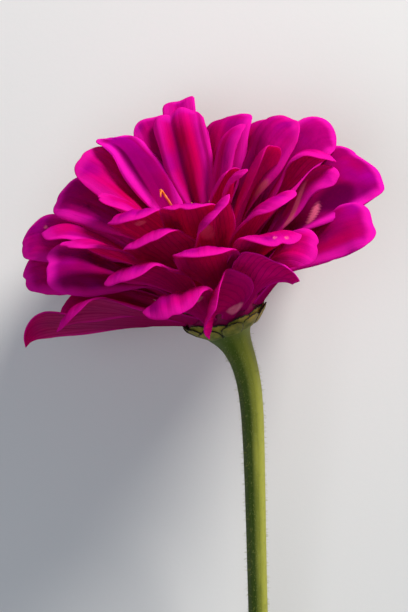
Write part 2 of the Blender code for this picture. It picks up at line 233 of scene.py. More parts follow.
def rings_of(node, pole_links):
    """The cross-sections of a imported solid, as arrays of points from pole to pole, poles included."""
    merged = bmesh.new()
    merged.from_mesh(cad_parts[node].data)
    bmesh.ops.remove_doubles(merged, verts=merged.verts, dist=MERGE)
    poles = [v for v in merged.verts if len(v.link_edges) == pole_links]
    rings, ring, seen = [], [poles[0]], {poles[0]}
    while ring:
        rings.append(np.array([v.co for v in ring], float))
        beyond = {e.other_vert(v) for v in ring for e in v.link_edges} - seen
        seen |= beyond
        ring = list(beyond)
    merged.free()
    return rings


class Head:
    """Where the flower head and its stem are, read from the stem's solid."""

    def __init__(self):
        rings = rings_of("stem", POLE_LINKS_OF_STEM)
        if np.linalg.norm(np.ptp(rings[1], axis=0)) > np.linalg.norm(np.ptp(rings[-2], axis=0)):
            rings = rings[::-1]
        if rings[1][:, 1].mean() > rings[-2][:, 1].mean():
            rings = rings[::-1]
        self.pith = rings[0][0]
        self.top = rings[-1][0]
        sections = rings[2:-1]
        self.centres = np.array([r.mean(axis=0) for r in sections])
        self.radii = np.array([np.linalg.norm(r - r.mean(axis=0), axis=1).mean() for r in sections])
        self.base = self.centres[STEM_RINGS - 1]
        self.axis = unit(self.top - self.base)
        self.facing = unit(np.array([0.0, 0.0, 1.0]) - self.axis[2] * self.axis)
        self.right = np.cross(self.axis, self.facing)

    def matrix(self):
        """From an upright flower's frame, its axis along +Z and its upper side at -Y, to the row frame."""
        placed = np.eye(4)
        placed[:3] = np.column_stack([self.right, -self.facing, self.axis, self.base])
        return Matrix(placed.tolist())


HEAD = Head()


# ---------------------------------------------------------------- meshes


def keep_mark(mesh, mark, values):
    """Keeps numbers on a mesh's points, for its finish or its tree to read."""
    layer = mesh.attributes.new(mark, "FLOAT", "POINT")
    layer.data.foreach_set("value", np.asarray(values, np.float32))


def marked_mesh(name, points, faces, marks):
    mesh = bpy.data.meshes.new(name)
    mesh.from_pydata([tuple(p) for p in points], [], faces)
    for mark, values in marks.items():
        keep_mark(mesh, mark, values)
    return mesh


def add_object(name, data):
    obj = bpy.data.objects.new(name, data)
    bpy.context.scene.collection.objects.link(obj)
    return obj


def mesh_object(name, points, faces, marks, finish):
    """A smooth object at the origin from points in the row frame."""
    mesh = marked_mesh(name, points, faces, marks)
    mesh.materials.append(finish)
    mesh.shade_smooth()
    mesh.update()
    return add_object(name, mesh)


def border_of(rows, columns):
    """The border of a grid once round, with each border point's neighbour further in."""
    loop = [((0, j), (1, j)) for j in range(columns)]
    loop += [((i, columns), (i, columns - 1)) for i in range(rows)]
    loop += [((rows, j), (rows - 1, j)) for j in range(columns, 0, -1)]
    loop += [((i, 0), (i, 1)) for i in range(rows, 0, -1)]
    corners = {
        (0, 0): (1, 1),
        (0, columns): (1, columns - 1),
        (rows, columns): (rows - 1, columns - 1),
        (rows, 0): (rows - 1, 1),
    }
    return [(here, corners.get(here, further)) for here, further in loop]


def shell_faces(rows, columns, rim=False):
    """Faces of a closed shell: two grids back to back, their borders joined straight or over rim points."""
    count = (rows + 1) * (columns + 1)

    def at(i, j):
        return i * (columns + 1) + j

    faces = []
    for i in range(rows):
        for j in range(columns):
            quad = (at(i, j), at(i, j + 1), at(i + 1, j + 1), at(i + 1, j))
            faces += [quad, tuple(count + q for q in reversed(quad))]
    border = [at(*here) for here, _ in border_of(rows, columns)]
    for here, a in enumerate(border):
        beyond = (here + 1) % len(border)
        b = border[beyond]
        if rim:
            c, d = 2 * count + here, 2 * count + beyond
            faces += [(b, a, c, d), (count + a, count + b, d, c)]
        else:
            faces.append((b, a, count + a, count + b))
    return faces


def tube_faces(rings, sides):
    """The faces between rings of points that follow one another."""
    faces = []
    for i in range(rings - 1):
        for j in range(sides):
            k = (j + 1) % sides
            faces.append((i * sides + j, i * sides + k, (i + 1) * sides + k, (i + 1) * sides + j))
    return faces


def pole_faces(rings, sides):
    """The faces that close a tube at both ends, at two poles whose points follow those of its rings."""
    last, pole = (rings - 1) * sides, rings * sides
    faces = []
    for j in range(sides):
        k = (j + 1) % sides
        faces += [(k, j, pole), (last + j, last + k, pole + 1)]
    return faces


def spokes_of(across, over, sides):
    """Directions round each place of a line, and their angles."""
    turns = np.arange(sides) / sides * 2 * math.pi
    cosines, sines = np.cos(turns)[None, :, None], np.sin(turns)[None, :, None]
    return cosines * across[:, None] + sines * over[:, None], turns


def place(obj, slot, *nodes):
    """The calls that every finished piece gets."""
    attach(obj, BODY)
    if nodes:
        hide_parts(*nodes)
    return obj


# ---------------------------------------------------------------- node trees


class Wire:
    """A socket whose arithmetic adds Math nodes to its tree."""

    def __init__(self, graph, socket):
        self.graph, self.socket = graph, socket

    def _math(self, operation, *terms):
        values = dict(enumerate(terms))
        return self.graph.node("ShaderNodeMath", {"operation": operation}, values)

    def __add__(self, other):
        return self._math("ADD", self, other)

    def __sub__(self, other):
        return self._math("SUBTRACT", self, other)

    def __rsub__(self, other):
        return self._math("SUBTRACT", other, self)

    def __mul__(self, other):
        return self._math("MULTIPLY", self, other)

    def __truediv__(self, other):
        return self._math("DIVIDE", self, other)

    def __rtruediv__(self, other):
        return self._math("DIVIDE", other, self)

    def __pow__(self, other):
        return self._math("POWER", self, other)

    def __abs__(self):
        return self._math("ABSOLUTE", self)

    __radd__, __rmul__ = __add__, __mul__

    def sine(self):
        return self._math("SINE", self)

    def cosine(self):
        return self._math("COSINE", self)

    def root(self):
        return self._math("SQRT", self)

    def spread(self, low, high):
        """0 where this is low, 1 where it is high, and an even curve between."""
        settings = {"interpolation_type": "SMOOTHSTEP", "clamp": True}
        values = {"Value": self, "From Min": low, "From Max": high}
        return self.graph.node("ShaderNodeMapRange", settings, values)


class Graph:
    """A node tree that is filled by calls."""

    def __init__(self, tree):
        self.tree = tree

    def node(self, kind, settings=(), values=(), out=0):
        """Adds a node, its settings first, then its sockets' values or links. Gives one of its outputs."""
        made = self.tree.nodes.new(kind)
        for key, value in dict(settings).items():
            setattr(made, key, value)
        for key, value in dict(values).items():
            if isinstance(value, Wire):
                self.tree.links.new(value.socket, made.inputs[key])
            else:
                made.inputs[key].default_value = value
        return Wire(self, made.outputs[out])


class Finish(Graph):
    """A material. What varies over a surface comes from marks on its points or from its place."""

    def __init__(self, name):
        self.material = bpy.data.materials.new(name)
        self.material.use_nodes = True
        super().__init__(self.material.node_tree)
        self.tree.nodes.clear()
        self.place = self.node("ShaderNodeTexCoord", out="Object")

    def mark(self, name):
        return self.node("ShaderNodeAttribute", {"attribute_name": name}, out="Fac")

    def noise(self, size, detail=2.0):
        """Noise from 0 to 1 whose lumps are about size metres across."""
        values = {"Vector": self.place, "Scale": 1 / size, "Detail": detail}
        return self.node("ShaderNodeTexNoise", {"noise_dimensions": "3D"}, values)

    def mix(self, share, first, second):
        """Two colours, or wires of colours, mixed by a share."""
        def colour(value):
            return value if isinstance(value, Wire) else (*value, 1.0)

        values = {0: share, 6: colour(first), 7: colour(second)}
        return self.node("ShaderNodeMix", {"data_type": "RGBA"}, values, out=2)

    def bump(self, height, depth, strength):
        return self.node("ShaderNodeBump", values={"Height": height, "Distance": depth, "Strength": strength})

    def surface(self, colour, roughness, shine=0.5, **others):
        """A surface from its colour, its roughness, its shine, and the rest of its sockets by name."""
        values = {"Base Color": colour, "Roughness": roughness, "Specular IOR Level": shine}
        values.update({name.replace("_", " ").title(): value for name, value in others.items()})
        return self.node("ShaderNodeBsdfPrincipled", values=values)

    def output(self, shader):
        end = self.tree.nodes.new("ShaderNodeOutputMaterial")
        self.tree.links.new(shader.socket, end.inputs["Surface"])
        return self.material


class Growth(Graph):
    """A geometry tree with named inputs. Its first input is the mesh that it starts from."""

    def __init__(self, name):
        super().__init__(bpy.data.node_groups.new(name, "GeometryNodeTree"))
        self.tree.interface.new_socket("Geometry", in_out="INPUT", socket_type="NodeSocketGeometry")
        self.tree.interface.new_socket("Geometry", in_out="OUTPUT", socket_type="NodeSocketGeometry")
        self.entry = self.tree.nodes.new("NodeGroupInput")
        self.keys, self.given = {}, {}

    def start(self):
        return Wire(self, self.entry.outputs["Geometry"])

    def asks(self, name, kind, value):
        """A named input with the value that this piece sets."""
        socket = self.tree.interface.new_socket(name, in_out="INPUT", socket_type=f"NodeSocket{kind}")
        self.keys[name], self.given[name] = socket.identifier, value
        return Wire(self, self.entry.outputs[name])

    def vector(self, x, y, z):
        return self.node("ShaderNodeCombineXYZ", values={"X": x, "Y": y, "Z": z})

    def random(self, low, high, seed, salt):
        values = {2: low, 3: high, "Seed": seed + salt}
        return self.node("FunctionNodeRandomValue", {"data_type": "FLOAT"}, values, out=1)

    def repeat(self, points, shape, turn, size, material):
        """Ends the tree: a shape is set on points, and its copies become real faces of one material."""
        values = {"Points": points, "Instance": shape, "Rotation": turn, "Scale": size}
        copies = self.node("GeometryNodeInstanceOnPoints", values=values)
        real = self.node("GeometryNodeRealizeInstances", values={"Geometry": copies})
        painted = self.node("GeometryNodeSetMaterial", values={"Geometry": real, "Material": material})
        end = self.tree.nodes.new("NodeGroupOutput")
        self.tree.links.new(painted.socket, end.inputs["Geometry"])

    def grow(self, obj):
        """Runs the tree on obj and leaves it with the plain mesh that comes out."""
        modifier = obj.modifiers.new(self.tree.name, "NODES")
        modifier.node_group = self.tree
        for name, value in self.given.items():
            modifier[self.keys[name]] = value
        bpy.context.view_layer.update()
        grown = bpy.data.meshes.new_from_object(obj.evaluated_get(bpy.context.evaluated_depsgraph_get()))
        obj.modifiers.remove(modifier)
        obj.data = grown
        grown.shade_smooth()
        return obj


# ---------------------------------------------------------------- finishes


def petal_finish(look):
    """Velvety petal tissue: fine veins along the blade, a duller underside and light through it, with painted
    light and shade: painted highlights on the margins and in pale streaks, the painted red of light through
    the bodies, and painted shade in the hollows, the valleys of the pleats and the feet.
    """
    f = Finish("petal_tissue")
    along, across, margin, upper = (f.mark(name) for name in ("along", "across", "margin", "upper"))
    tone_and_light, painted_highlight, faded, valley_shade, painted_shade = (f.mark(name) for name in ("tone_and_light", "painted_highlight", "faded", "valley_shade", "painted_shade"))
    lumps = f.noise(6 * MM, detail=4.0)
    drift = f.noise(9 * MM)
    tides = f.noise(7 * MM, detail=1.0)
    patches = f.noise(1.6 * MM, detail=3.0)
    cells = f.noise(0.25 * MM)
    veins = (1 - abs((across * look.veins + drift * 2.2).sine())) ** 3.0
    fine = abs((across * look.veins * 3.1 + drift * 4.0).sine())

    body = margin.spread(1.2, 4.0) * (1 - along.spread(0.72, 1.0))
    # Each petal's tone, partly painted light and shade, and noise mix its upper face from deep to bright.
    light = (lumps * 0.5 + patches * 0.2 + tone_and_light * 1.1 - 0.3).spread(0.0, 1.0)
    bright = f.mix(light, look.deep_colour, look.bright_colour)
    # Painted light: the red of light shining through the body, away from the margins and the tip.
    bright = f.mix(body * (drift * 1.5 - 0.2 + f.mark("flush")).spread(0.0, 0.9), bright, look.painted_backlight_colour)
    # Painted shade: the cupped body darker on a less lit petal.
    bright = f.mix(body * (1 - tone_and_light) * 0.75, bright, look.deep_colour)
    # Painted shade: violet patches where shade falls, fewer in the body.
    shade = tides.spread(0.45, 0.68) * (1 - body * 0.6) * 0.75
    bright = f.mix(shade, bright, look.shade_violet_colour)
    bright = f.mix(veins * 0.22 + fine * 0.06, bright, look.vein_colour)
    # Painted shade in the valleys of the pleats.
    bright = f.mix(valley_shade * 0.75, bright, look.deep_colour)
    # Painted shade: dark patches in the hollows, and the body of a petal whose tone is below 0.
    bright = f.mix((body * (0 - tone_and_light) * 1.5).spread(0, 1) + painted_shade, bright, look.painted_shade_colour)
    under = f.mix((lumps + patches * 0.3).spread(0.3, 0.9), look.under_colour, look.under_light_colour)
    under = f.mix(veins * 0.5 + fine * 0.15, under, look.vein_colour)
    dull = (veins + fine * 0.3 + patches * 0.4).spread(0.2, 1.1)
    dull = f.mix(dull, look.faded_colour, look.faded_vein_colour)
    # Painted light: the underside of a well lit petal mixed towards the bright upper colour.
    lit = tone_and_light.spread(0.7, 1.0) * (1 - along * 0.3) * 0.6 + tone_and_light.spread(1.2, 1.6) * 0.4
    under = f.mix(lit, under, bright)
    under = f.mix(faded * (1 - along.spread(0.72, 0.92)), under, dull)
    colour = f.mix(upper, under, bright)
    # Painted shade at the claw, where the feet sit deep among the other petals.
    colour = f.mix((1 - along.spread(0.05, 0.6)) * 0.8, colour, look.claw_shade_colour)
    # Painted highlight along the margins, most on the upper face.
    rim = (1 - (margin + lumps * 1.2 - 0.6).spread(0.4, 3.0)) * (upper * 0.75 + 0.1)
    colour = f.mix(rim, colour, look.rim_highlight_colour)
    colour = f.mix((1 - margin.spread(0.0, 0.5)) * 0.45, colour, look.rim_highlight_colour)
    # Painted highlight: pale pink streaks where light glances off a petal.
    colour = f.mix(painted_highlight * (patches * 1.4 + 0.2).spread(0.0, 1.0), colour, look.painted_highlight_colour)

    height = cells * 0.25 + veins * (1 - upper * 2) * 0.35 + fine * 0.15 + patches * 0.8
    normal = f.bump(height, 0.14 * MM, 0.6)
    roughness = 0.5 + cells * 0.2 - painted_highlight * 0.15
    skin = f.surface(colour, roughness, 0.0, normal=normal, coat_weight=painted_highlight * 0.12, coat_roughness=0.25)
    glow = f.node("ShaderNodeBsdfTranslucent", values={"Color": (*look.glow_colour, 1.0), "Normal": normal})
    share = (tone_and_light * 0.7 + rim * 0.5 - valley_shade * 0.3 + 0.3) * look.glow_share
    return f.output(f.node("ShaderNodeMixShader", values={0: share, 1: skin, 2: glow}))


def stem_finish(look):
    """Green ribbed skin with streaks along the stem, painted light on the side towards the key light and
    painted shade on the far side, its own colour on the flare under the head, pale dots, a red receptacle and
    a pale cut end.
    """
    f = Finish("stem_skin")
    along, round_, cut = f.mark("along"), f.mark("round"), f.mark("cut")
    blotch = f.noise(9 * MM, detail=3.0)
    cells = f.noise(0.35 * MM)
    streak = abs((round_ * 4.5 + blotch * 1.5).sine())
    # Painted light and shade: the skin lighter on the side towards the key light, darker in the middle and
    # grey on the far side.
    sunny = round_.cosine()
    light = (sunny + streak * 0.2 + blotch * 0.5).spread(0.0, 1.1)
    colour = f.mix(light, look.unlit_colour, look.lit_side_colour)
    colour = f.mix((blotch * 0.6 - sunny).spread(0.5, 1.2) * 0.7, colour, look.grey_colour)
    colour = f.mix((1 - along.spread(0.0, 0.14)) * 0.5, colour, look.flare_colour)
    colour = f.mix((cells - 0.55).spread(0.0, 0.2) * 0.25, colour, look.dot_colour)
    colour = f.mix(f.mark("head"), colour, look.receptacle_colour)
    colour = f.mix(cut, colour, look.pith_colour)
    normal = f.bump(cells * 0.4 + streak * 0.6, 0.15 * MM, 0.6)
    return f.output(f.surface(colour, 0.42 + cells * 0.2, 0.15, normal=normal))


def hair_finish(look):
    f = Finish("stem_hairs")
    shade = f.noise(2 * MM)
    colour = f.mix(shade, look.hair_colour, look.lit_side_colour)
    return f.output(f.surface(colour, 0.5))


def scale_finish(look):
    """A green scale with a papery dark margin."""
    f = Finish("bract_scales")
    rim, length, dry = f.mark("rim"), f.mark("along"), f.mark("dry")
    blotch, fibres = f.noise(2.2 * MM, detail=3.0), f.noise(0.3 * MM, detail=3.0)
    colour = f.mix(blotch.spread(0.3, 0.7), look.scale_colour, look.scale_light_colour)
    browned = (length.spread(0.1, 0.9) * 0.5 + dry * 0.9) * blotch.spread(0.2, 0.6)
    colour = f.mix(browned, colour, look.scale_tip_colour)
    colour = f.mix((rim + (fibres - 0.5) * 0.5 + blotch * 0.6).spread(1.0, 1.25), colour, look.margin_colour)
    normal = f.bump(fibres, 0.1 * MM, 0.6)
    return f.output(f.surface(colour, 0.5 + fibres * 0.25, 0.2, normal=normal))


def heart_finish(name, low_colour, high_colour):
    """Small florets and the scales between them: one colour at their feet and another at their tips."""
    f = Finish(name)
    height, grain = f.mark("along"), f.noise(0.4 * MM)
    colour = f.mix((height + (grain - 0.5) * 0.4).spread(0.25, 0.9), low_colour, high_colour)
    normal = f.bump(grain, 0.05 * MM, 0.5)
    return f.output(f.surface(colour, 0.45 + grain * 0.2, normal=normal))


def floor_finish(look):
    f = Finish("pale_surface")
    wide, tooth = f.noise(0.25, detail=3.0), f.noise(0.9 * MM, detail=3.0)
    colour = f.mix(wide * 0.5 + tooth * 0.2, look.colour, [c * 0.95 for c in look.colour])
    normal = f.bump(tooth, 0.05 * MM, 0.25)
    return f.output(f.surface(colour, 0.75 + tooth * 0.1, normal=normal))


# ---------------------------------------------------------------- petals


class Midrib:
    """A petal's solid read as a line with directions, half width and edge turns, then bent by its habit."""

    def __init__(self, node, habit):
        rings = rings_of(node, POLE_LINKS_OF_PETAL)
        if self._from_axis(rings[0][0]) > self._from_axis(rings[-1][0]):
            rings = rings[::-1]
        sections = rings[1:-1]
        lateral = self._first_lateral(rings[0][0], sections)
        columns = []
        for ring in sections:
            apart = np.linalg.norm(ring[:, None] - ring[None, :], axis=2)
            one, other = np.unravel_index(apart.argmax(), apart.shape)
            across = unit(ring[other] - ring[one])
            lateral = across if across.dot(lateral) > 0 else -across
            ordered = ring[np.argsort(ring @ lateral)]
            pairs = [ordered[i:i + 2].mean(0) for i in (1, 3, 5)]
            columns.append([ordered[0], *pairs, ordered[7]])
        columns = np.array(columns)
        centres = np.vstack([rings[0], columns[:, 2], rings[-1]])
        steps = np.linalg.norm(np.diff(centres, axis=0), axis=1)
        places = np.r_[0.0, np.cumsum(steps)] / steps.sum()
        inner = places[1:-1]
        chords = columns[:, 4] - columns[:, 0]
        normals = np.cross(unit(chords), unit(np.gradient(centres, places, axis=0))[1:-1])
        sagitta = ((columns[:, 2] - (columns[:, 0] + columns[:, 4]) / 2) * normals).sum(axis=1)
        half_chord = np.linalg.norm(chords, axis=1) / 2
        turns = 2 * np.arctan2(sagitta, half_chord)
        half_widths = half_chord * turns / np.sin(np.where(abs(turns) < 1e-6, 1e-6, turns))
        blade = (inner > 0.3) & (inner < 1 - TIP_SHARE)
        self.claw = habit["claw"]
        self.half_width = (half_widths[blade] / body_width(inner[blade], CLAW_WIDTH)).max() * habit["wide"]
        self.length = steps.sum() * habit["reach"]
        leaning = np.outer(ease(places), habit["lean"]) + np.outer(np.sin(math.pi * places), habit["sag"])
        self._lay(places, centres + MM * leaning, unit(chords), turns, habit)

    def _lay(self, places, centres, laterals, turns, habit):
        """Fills the tables of points and directions that the blade is read from."""
        self.at = np.linspace(0, 1, MIDRIB_POINTS)
        share = self.at * habit["reach"]
        on_blade = np.clip(share, places[1], places[-2])
        points = through(places, centres, share)
        ahead = unit(np.gradient(points, self.at, axis=0))
        lateral = through(places[1:-1], laterals, on_blade)
        lateral = unit(lateral - (lateral * ahead).sum(-1, keepdims=True) * ahead)
        turn = np.radians(habit["cant"] * ease(self.at / 0.25) + habit["turn"] * ease(self.at))[:, None]
        lateral = np.cos(turn) * lateral + np.sin(turn) * np.cross(ahead, lateral)
        normal = np.cross(lateral, ahead)
        curl = (math.radians(habit["curl"]) * ease((self.at - CURL_START) / (1 - CURL_START)))[:, None]
        curled = np.cos(curl) * ahead - np.sin(curl) * normal
        paces = np.linalg.norm(np.diff(points, axis=0), axis=1)[:, None]
        moved = np.cumsum(paces * (curled[1:] + curled[:-1] - ahead[1:] - ahead[:-1]) / 2, axis=0)
        self.points = points + np.vstack([np.zeros(3), moved])
        self.ahead, self.lateral = curled, lateral
        self.turns = through(places[1:-1], turns, on_blade) * habit["cup"]

    def _from_axis(self, point):
        apart = point - HEAD.base
        return np.linalg.norm(apart - apart.dot(HEAD.axis) * HEAD.axis)

    def _first_lateral(self, claw, sections):
        chord = unit(sections[5].mean(axis=0) - claw)
        inward = unit(HEAD.axis - HEAD.axis.dot(chord) * chord)
        return np.cross(chord, inward)

    def frame_at(self, along):
        """Points, laterals and upper normals at places along the petal."""
        ahead = unit(through(self.at, self.ahead, along))
        lateral = through(self.at, self.lateral, along)
        lateral = unit(lateral - (lateral * ahead).sum(-1, keepdims=True) * ahead)
        return through(self.at, self.points, along), lateral, np.cross(lateral, ahead)

    def turn_at(self, along):
        return np.interp(along, self.at, self.turns)

    def half_width_at(self, along):
        return self.half_width * body_width(along, self.claw)


def body_width(along, claw):
    """Half width of a blade over its greatest, but for its rounded tip. claw is that of its foot."""
    return claw + (1 - claw) * ease(np.asarray(along) / SHOULDER)


def habit_of(node, seed):
    """A petal's own habit: drawn at random, then what HABITS says about it."""
    rng = np.random.default_rng([seed, sum(ord(c) * (i + 1) for i, c in enumerate(node))])
    habit = {
        "lean": (0, 0, 0),
        "sag": (0, 0, 0),
        "reach": 1.0,
        "wide": 1.0,
        "claw": CLAW_WIDTH,
        "cant": 0.0,
        "turn": 0.0,
        "cup": 1.0,
        "curl": rng.uniform(-8, 12),
        "roll": rng.uniform(5, 45, 2),
        "notch": max(0.0, rng.uniform(-0.4, 0.8)),
        "notch_at": rng.uniform(-0.35, 0.35),
        "square": rng.uniform(2.3, 3.2),
        "ruffle": rng.uniform(0.2, 0.5),
        "ridge": rng.uniform(0.05, 0.12),
        "pleats": (rng.uniform(0.1, 0.35), rng.uniform(0.8, 1.8)),
        "tone_and_light": rng.uniform(0.3, 0.8),
        "faded": 0.0,
        "flush": rng.uniform(-0.1, 0.3),
        "gloss": (),
        "upper_highlights": (),
        "painted_shade": (),
        "phases": rng.uniform(0, 2 * math.pi, 8),
        "waves": rng.uniform(0.8, 1.6, 2),
        "ribs": rng.uniform(3.0, 4.6, 2),
    }
    habit.update(HABITS.get(node, {}))
    return habit


def patches_of(patches, along, across):
    """How far each place lies inside any of some patches: (along, across, half length, half width, slant)."""
    inside = np.zeros_like(along)
    for where, aside, long, wide, slant in patches:
        apart = ((along - where) / long) ** 2 + ((across - aside - slant * (along - where)) / wide) ** 2
        inside = np.maximum(inside, 1 - ease((apart - 0.3) / 0.9))
    return inside


def from_midrib(slope, across):
    """A slope summed along each row, from 0 at the midrib."""
    sums = np.cumsum((slope[:, 1:] + slope[:, :-1]) / 2 * np.diff(across, axis=1), axis=1)
    sums = np.concatenate([np.zeros((len(slope), 1)), sums], axis=1)
    middle = COLUMNS // 2
    return sums - sums[:, middle:middle + 1]


def blade_surface(rib, habit):
    """The blade's middle surface as a grid of points, with their places along, across and from the margin."""
    spread = np.linspace(-1, 1, COLUMNS + 1)
    across = np.sin(spread * math.pi / 2) * 0.35 + spread * 0.65
    round_tip = (1 - np.abs(across) ** habit["square"]).clip(0) ** (1 / habit["square"])
    broad, narrow, right, left, pleat, dent, crossing, small = habit["phases"]
    notch = habit["notch"] * MM / rib.length * np.exp(-(((across - habit["notch_at"]) / NOTCH_WIDTH) ** 2))
    teeth = TIP_TEETH * np.sin(across * 7 + broad)
    tip = 1 - TIP_SHARE * (1 - round_tip) - notch + teeth * (1 - across**2)
    rows = np.linspace(0, 1, ROWS + 1)
    rows = rows + 0.06 * np.sin(rows * math.pi)
    along = rows[:, None] * tip[None, :]
    s = np.broadcast_to(across, along.shape)

    points, lateral, normal = rib.frame_at(along)
    half = rib.half_width_at(along)
    outer = ease((np.abs(s) - (1 - RIM_SHARE)) / RIM_SHARE) * np.sign(s)
    roll = np.radians(np.where(s > 0, *habit["roll"][::-1])) * outer * ease((along - 0.25) / 0.35)
    bend = rib.turn_at(along) * s + roll
    aside, back = from_midrib(np.cos(bend), s), from_midrib(np.sin(bend), s)
    points = points + half[..., None] * (aside[..., None] * lateral - back[..., None] * normal)
    skin = np.cos(bend)[..., None] * normal + np.sin(bend)[..., None] * lateral

    margin = np.minimum((1 - np.abs(s)) * half, (tip[None, :] - along) * rib.length)
    ribs, waves = habit["ribs"], habit["waves"]
    ridges = np.cos(s * math.pi * ribs[0] + broad) + 0.6 * np.cos(s * math.pi * 1.9 * ribs[1] + narrow)
    ridges = ridges * ease(along / 0.25) * ease(margin / (2.5 * MM)) * half / COMMON_HALF
    waved = np.sin(along * 2 * math.pi * np.where(s > 0, *waves) + np.where(s > 0, right, left))
    waved = waved * np.abs(s) ** 2.5 * ease((along - 0.3) / 0.4)
    height, number = habit["pleats"]
    flatter = 1 - 0.5 * ease((along - 0.7) / 0.3)
    pleated = np.cos(s * math.pi * number + pleat) * ease(along / 0.35) * flatter
    dents = np.sin(along * 9 + 2.4 * s + dent) * np.cos(s * 2.6 + crossing + 2 * along)
    dents = dents + 0.35 * np.sin(along * 21 - 3.6 * s + crossing) * np.cos(s * 5.2 + small + 3 * along)
    lift = MM * (habit["ridge"] * ridges + habit["ruffle"] * waved + height * pleated)
    lift = lift + DENT_DEPTH * dents * ease(along / 0.3) * half / COMMON_HALF
    # Patches of painted highlight and painted shade, and painted shade in the valleys of the pleats.
    drawn = {name: patches_of(habit[name], along, s) for name in ("gloss", "upper_highlights", "painted_shade")}
    drawn["valley_shade"] = ease(-pleated) * min(1.0, height / 0.6) * ease(margin / (2 * MM))
    return points + lift[..., None] * skin, along, s, margin, drawn


def grid_normals(points):
    down = np.gradient(points, axis=0)
    over = np.gradient(points, axis=1)
    return unit(np.cross(over, down))


def make_petal(node, look, finish):
    """A petal as a thin closed blade with rounded rims, around its middle surface."""
    habit = habit_of(node, look.seed)
    rib = Midrib(node, habit)
    points, along, across, margin, drawn = blade_surface(rib, habit)
    normals = grid_normals(points)
    thick = look.thickness * (0.62 + 0.38 * ease(margin / (3 * MM))) * (1.3 - 0.3 * ease(along / 0.3))
    upper = points + 0.5 * thick[..., None] * normals
    lower = points - 0.5 * thick[..., None] * normals
    border = border_of(ROWS, COLUMNS)
    rim = np.array([points[h] + 0.5 * thick[h] * unit(points[h] - points[f]) for h, f in border])
    count, rims = along.size, len(border)

    def marks(grid, at_rim=None):
        """A number of the grid on both faces, and at the rim what the grid says there, or one number."""
        at_rims = [grid[h] for h, _ in border] if at_rim is None else [at_rim] * rims
        return np.concatenate([grid.ravel(), grid.ravel(), at_rims])

    everything = np.concatenate([upper.reshape(-1, 3), lower.reshape(-1, 3), rim])
    piece = mesh_object(f"{node}_blade", everything, shell_faces(ROWS, COLUMNS, rim=True), {
        "along": marks(along),
        "across": marks(across),
        "margin": marks(margin / MM, 0.0),
        # Painted highlights on both faces, and painted shade in the hollows and in the valleys of the pleats.
        "painted_highlight": np.concatenate([drawn["upper_highlights"].ravel(), drawn["gloss"].ravel(), np.zeros(rims)]),
        "painted_shade": marks(drawn["painted_shade"]),
        "valley_shade": marks(drawn["valley_shade"]),
        "upper": np.repeat([1.0, 0.0, 0.6], [count, count, rims]),
        **{name: np.full(len(everything), habit[name]) for name in ("tone_and_light", "flush", "faded")},
    }, finish)
    place(piece, "petal", node)


# ---------------------------------------------------------------- stem


def make_stem(look, finish):
    """The stem and receptacle: a ribbed tube along the centres of the solid's rings, with a pithy cut end."""
    centres, radii = HEAD.centres, HEAD.radii
    steps = np.linalg.norm(np.diff(centres, axis=0), axis=1)
    places = np.r_[0.0, np.cumsum(steps)]
    neck = places[STEM_RINGS - 1]
    flare = neck - FLARE_LENGTH
    at = np.r_[np.linspace(0, flare, STEM_STEPS), np.linspace(flare, places[-1], FLARE_STEPS)[1:]]
    line = through(places, centres, at)
    radius = np.interp(at, places, radii)
    radius = np.convolve(np.pad(radius, 1, mode="edge"), (0.25, 0.5, 0.25), mode="valid")
    ahead = unit(np.gradient(line, at, axis=0))
    sides = look.sides
    across = unit(np.cross(ahead, (0.0, 0.0, 1.0)))
    spokes, turns = spokes_of(across, np.cross(across, ahead), sides)
    stem_share = ease((neck - at) / (10 * MM))
    rng = np.random.default_rng(look.seed)
    phases = rng.uniform(0, 2 * math.pi, 5)
    drift = 0.35 * np.sin(at / (31 * MM) + phases[0]) + 0.2 * np.sin(at / (13 * MM) + phases[1])
    ribs = np.cos(turns[None, :] * look.ribs + drift[:, None] * 2)
    ribs = ribs + 0.5 * np.cos(turns[None, :] * (2 * look.ribs - 3) + phases[2] + drift[:, None])
    lumps = np.sin(at / (7 * MM) + phases[3])[:, None] * np.cos(turns + phases[4])[None, :]
    swell = 1 + stem_share[:, None] * (look.rib_depth * ribs + 0.012 * lumps)
    rings = line[:, None] + (radius[:, None] * swell)[..., None] * spokes
    inner = [rings[0] + (centres[0] - rings[0]) * share for share in CUT_SHARES]
    inner[0] = inner[0] - 0.15 * MM * ahead[0]
    inner[-1] = inner[-1] + PITH_DEPTH * (HEAD.pith - centres[0])
    stack = [*reversed(inner), *rings]
    points = np.concatenate([*stack, [HEAD.pith], [HEAD.top]])
    faces = tube_faces(len(stack), sides) + pole_faces(len(stack), sides)
    below = (neck - at) / neck
    head = ease(((line - HEAD.base) @ HEAD.axis - 0.8 * MM) / (1.2 * MM))

    def marks(inside, values, pith, top):
        """Numbers on the rings inside the cut end, on the rings of the skin, and at both poles."""
        rows = np.concatenate([np.full(len(inner), inside), values])
        return np.concatenate([np.repeat(rows, sides), [pith, top]])

    piece = mesh_object("stem_skin", points, [face[::-1] for face in faces], {
        "along": marks(0.0, below, 0.0, below[-1]),
        "head": marks(0.0, head, 0.0, 1.0),
        "round": np.concatenate([np.tile(turns, len(stack)), [0.0, 0.0]]),
        "cut": marks(1.0, np.zeros(len(at)), 1.0, 0.0),
    }, finish)
    return place(piece, "stem", "stem")


